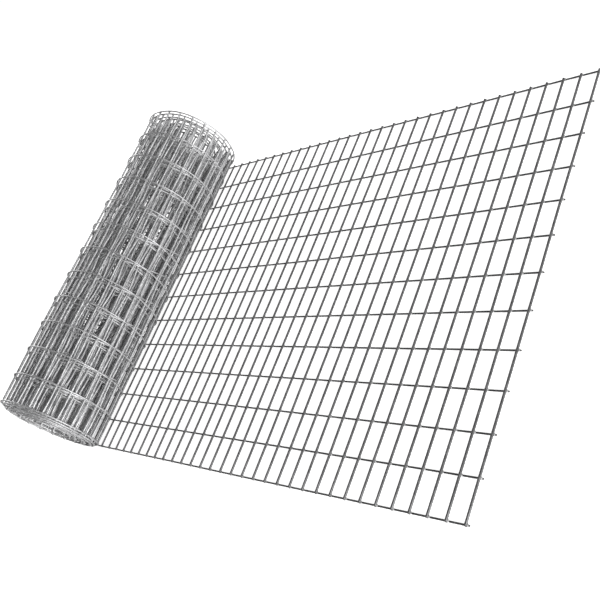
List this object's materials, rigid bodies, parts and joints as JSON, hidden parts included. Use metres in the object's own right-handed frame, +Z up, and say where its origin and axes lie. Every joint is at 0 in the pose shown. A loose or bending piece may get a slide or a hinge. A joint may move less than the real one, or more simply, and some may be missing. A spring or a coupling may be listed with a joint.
{
  "type": "roll of welded wire mesh fencing",
  "caption": "Round roll of galvanised welded wire mesh lying on its side, open through its middle, with the free end unrolled flat along the floor.",
  "frame": {"origin": "on the floor, below the middle of the overall length and width", "axes": "+X from the roll to the free end of the mesh, +Y along the roll's axis, +Z up"},
  "size_m": [0.9163, 0.6212, 0.188],
  "materials": {
    "galvanised_wire": "dull zinc coating"
  },
  "bodies": {
    "root": {"roll": "galvanised_wire", "flat_mesh_1": "galvanised_wire", "flat_mesh_2": "galvanised_wire", "flat_mesh_3": "galvanised_wire", "flat_mesh_4": "galvanised_wire"}
  },
  "joints": []
}
